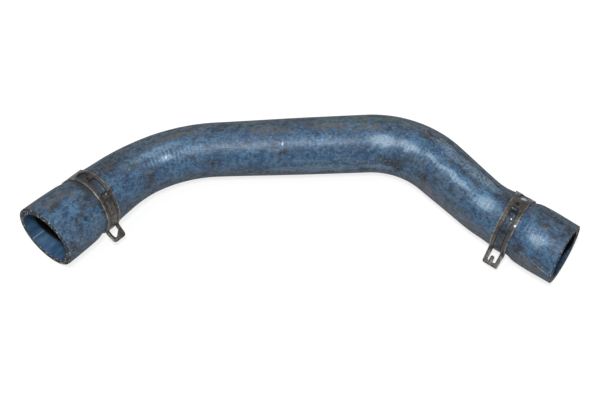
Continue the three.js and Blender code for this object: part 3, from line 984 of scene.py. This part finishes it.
def steel_finish(name, ring, tongue_dark, tongue_light, glints, shaded_pits):
    material, tree, shader = new_finish(name)
    shape = kept_shape(tree, "flat")
    along, _, across = add_node(tree, "ShaderNodeSeparateXYZ", {0: shape}).outputs
    mottle = between(tree, noise(tree, shape, 420, 7, 0.72), 0.36, 0.64)
    rails = blend(tree, mottle, srgb(62, 59, 57), srgb(98, 94, 90))
    tongue = blend(tree, mottle, tongue_dark, tongue_light)
    worn = between(tree, noise(tree, shape, 240, 5, 0.7), 0.4, 0.58, 0.8)
    fork_edge = ring.clamp["fork_width"] / 2
    off_middle = calculate(tree, "ABSOLUTE", across)
    rim = between(tree, off_middle, fork_edge - 1.3 * MM, fork_edge - 0.3 * MM)
    rails = blend(tree, calculate(tree, "MULTIPLY", worn, rim), rails, srgb(168, 164, 158))
    on_tongue = between(tree, along, ring.at(TONGUE_START - 22), ring.at(TONGUE_START - 6))
    colour = blend(tree, on_tongue, rails, tongue)
    caked = noise(tree, stretched(tree, shape, (0.6, 1, 1), (5, 1, 2)), 300, 6, 0.7)
    crust = between(tree, caked, 0.5, 0.66, 0.5)
    colour = blend(tree, crust, colour, srgb(56, 52, 48))
    scoured = noise(tree, stretched(tree, shape, (0.5, 1, 1), (1, 8, 3)), 520, 5, 0.7)
    rubbed = between(tree, scoured, 0.58, 0.72, 0.35)
    colour = blend(tree, rubbed, colour, srgb(146, 142, 136))
    # Painted shade in the pits' dimples, then painted glints.
    for marks, tint in ((shaded_pits, srgb(26, 26, 32)), (glints, srgb(232, 234, 234))):
        colour = blend(tree, marks_on_strip(tree, ring, along, across, marks), colour, tint)
    rough = calculate(tree, "MULTIPLY_ADD", crust, 0.3, 0.42)
    metallic = calculate(tree, "MULTIPLY_ADD", crust, -0.4, 0.55)
    connect(tree, shader, colour, rough, mottle, 0.08 * MM, metallic)
    return material


def edge_finish(name, ring):
    """Bare and bright in worn patches on the outer edges, with a painted glint at the tab's end, and
    dark in the window and by the tongue.
    """
    material, tree, shader = new_finish(name)
    shape = kept_shape(tree, "flat")
    along, _, across = add_node(tree, "ShaderNodeSeparateXYZ", {0: shape}).outputs
    worn = between(tree, noise(tree, shape, 300, 4), 0.42, 0.6)
    outer = between(tree, calculate(tree, "ABSOLUTE", across), 4.2 * MM, 5.2 * MM)
    # Painted glint along the end of the tab.
    tip = between(tree, along, ring.length() - 2 * MM, ring.length() - 1 * MM)
    bare_steel_and_glint = calculate(tree, "MAXIMUM", calculate(tree, "MULTIPLY", worn, outer), tip)
    colour = blend(tree, bare_steel_and_glint, srgb(44, 42, 40), srgb(206, 202, 194))
    rough = calculate(tree, "MULTIPLY_ADD", bare_steel_and_glint, -0.3, 0.6)
    connect(tree, shader, colour, rough, metallic=calculate(tree, "MULTIPLY_ADD", bare_steel_and_glint, 0.5, 0.3))
    return material


def finish_clamp(clamp, ring, tongue_dark, tongue_light, glints, shaded_pits):
    steel = steel_finish(clamp.name + "_steel", ring, tongue_dark, tongue_light, glints, shaded_pits)
    edge = edge_finish(clamp.name + "_edge", ring)
    clamp.data.materials[FACE], clamp.data.materials[EDGE] = steel, edge
    print("clamp finishes", steel.name, edge.name)


finish_clamp(left_clamp, Ring(LEFT, LEFT_PLACE), srgb(58, 57, 56), srgb(112, 109, 106),
             glints=[(440, -1.0, 1.0)], shaded_pits=[(122, 0.6, 1.6), (152, -1.2, 1.8)])
finish_clamp(right_clamp, Ring(RIGHT, RIGHT_PLACE), srgb(34, 42, 50), srgb(78, 92, 106),
             glints=[(453, -1.0, 0.7), (85, -5.7, 1.0)], shaded_pits=[(126, 0.8, 2.4)])

# %% [markdown]
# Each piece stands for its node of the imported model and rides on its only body.

# %% Tie the pieces to the frame
for piece, node, slot in ((hose, "hose", "hose_rubber"), (left_clamp, "left_clamp", "clamp_steel"),
                          (right_clamp, "right_clamp", "clamp_steel")):
    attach(piece, "root")
    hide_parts(node)

# %% [markdown]
# The hose lies on a plain pale floor. The camera sees floor and world nearly white, as in a product
# photograph, while for all other rays both are ordinary soft surfaces.

# %% Floor and world
FLOOR_HEIGHT = -0.4 * MM
FLOOR_GREY = 0.3
PALE_GLOW = 0.8


def pale_floor():
    deselect_all()
    bpy.ops.mesh.primitive_plane_add(size=12, location=(0, 0, FLOOR_HEIGHT))
    floor = bpy.context.active_object
    floor.name = "floor"
    material, tree, shader = new_finish("pale_floor")
    shader.inputs["Base Color"].default_value = (FLOOR_GREY, FLOOR_GREY, FLOOR_GREY, 1)
    shader.inputs["Roughness"].default_value = 0.9
    rays = add_node(tree, "ShaderNodeLightPath").outputs
    seen = calculate(tree, "MAXIMUM", rays["Is Camera Ray"], rays["Is Glossy Ray"])
    seen = calculate(tree, "MAXIMUM", seen, rays["Is Transmission Ray"])
    strength = calculate(tree, "MULTIPLY", seen, PALE_GLOW)
    glow = add_node(tree, "ShaderNodeEmission", {"Strength": strength})
    both = add_node(tree, "ShaderNodeAddShader", {0: shader.outputs[0], 1: glow.outputs[0]})
    tree.links.new(both.outputs[0], tree.nodes["Material Output"].inputs["Surface"])
    floor.data.materials.append(material)


def pale_world():
    world = bpy.data.worlds.new("studio")
    world.use_nodes = True
    bpy.context.scene.world = world
    tree = world.node_tree
    rays = add_node(tree, "ShaderNodeLightPath").outputs
    seen = calculate(tree, "MAXIMUM", rays["Is Camera Ray"], rays["Is Transmission Ray"])
    strength = calculate(tree, "MULTIPLY_ADD", seen, PALE_GLOW, 1 - PALE_GLOW)
    background = tree.nodes["Background"]
    background.inputs["Color"].default_value = (1, 1, 1, 1)
    tree.links.new(strength, background.inputs["Strength"])


pale_floor()
pale_world()
print("floor and world are set")

# %% [markdown]
# The key light hangs above and a little in front, so that the hose gets a highlight along its upper
# front. Two weaker ones carry that highlight on round the bends, and a wide one lights the back.

# %% Lights
LIGHT_DISTANCE = 1.6


def soft_light(name, azimuth, elevation, size, power):
    """A round lamp that looks at the hose, from a bearing and a height in degrees."""
    light = bpy.data.lights.new(name, "AREA")
    light.shape = "DISK"
    light.size = size
    light.energy = power
    lamp = bpy.data.objects.new(name, light)
    bpy.context.scene.collection.objects.link(lamp)
    around = Matrix.Rotation(math.radians(azimuth), 4, "Z")
    tilted = Matrix.Rotation(math.radians(90 - elevation), 4, "X")
    lamp.matrix_world = around @ tilted @ Matrix.Translation((0, 0, LIGHT_DISTANCE))


soft_light("key", -5, 67, 0.2, 12)
soft_light("high_left", -76, 69, 0.3, 4.5)
soft_light("low_right", 46, 55, 0.3, 2.0)
soft_light("back", 170, 38, 1.2, 3.5)
print("lights", [light.name for light in bpy.data.lights])

# %% [markdown]
# The camera looks down at 57 degrees from 1.3 m. Its lens is about 106 mm on a 36 mm sensor, which
# follows from how the round mouths and the legs appear in the photograph.

# %% Camera
CAMERA_ELEVATION = 57
CAMERA_DISTANCE = 1.3
CAMERA_LENS = 105.84
camera_data = bpy.data.cameras.new("camera")
camera_data.lens = CAMERA_LENS
camera_data.sensor_width = 36
camera_data.clip_start = 0.05
camera = bpy.data.objects.new("camera", camera_data)
bpy.context.scene.collection.objects.link(camera)
tilt = Matrix.Rotation(math.radians(90 - CAMERA_ELEVATION), 4, "X")
camera.matrix_world = Matrix.Translation(ORIGIN) @ tilt @ Matrix.Translation((0, 0, CAMERA_DISTANCE))
bpy.context.scene.camera = camera
bpy.context.scene.view_settings.view_transform = "Standard"
print("camera at", [round(v, 4) for v in camera.matrix_world.translation])
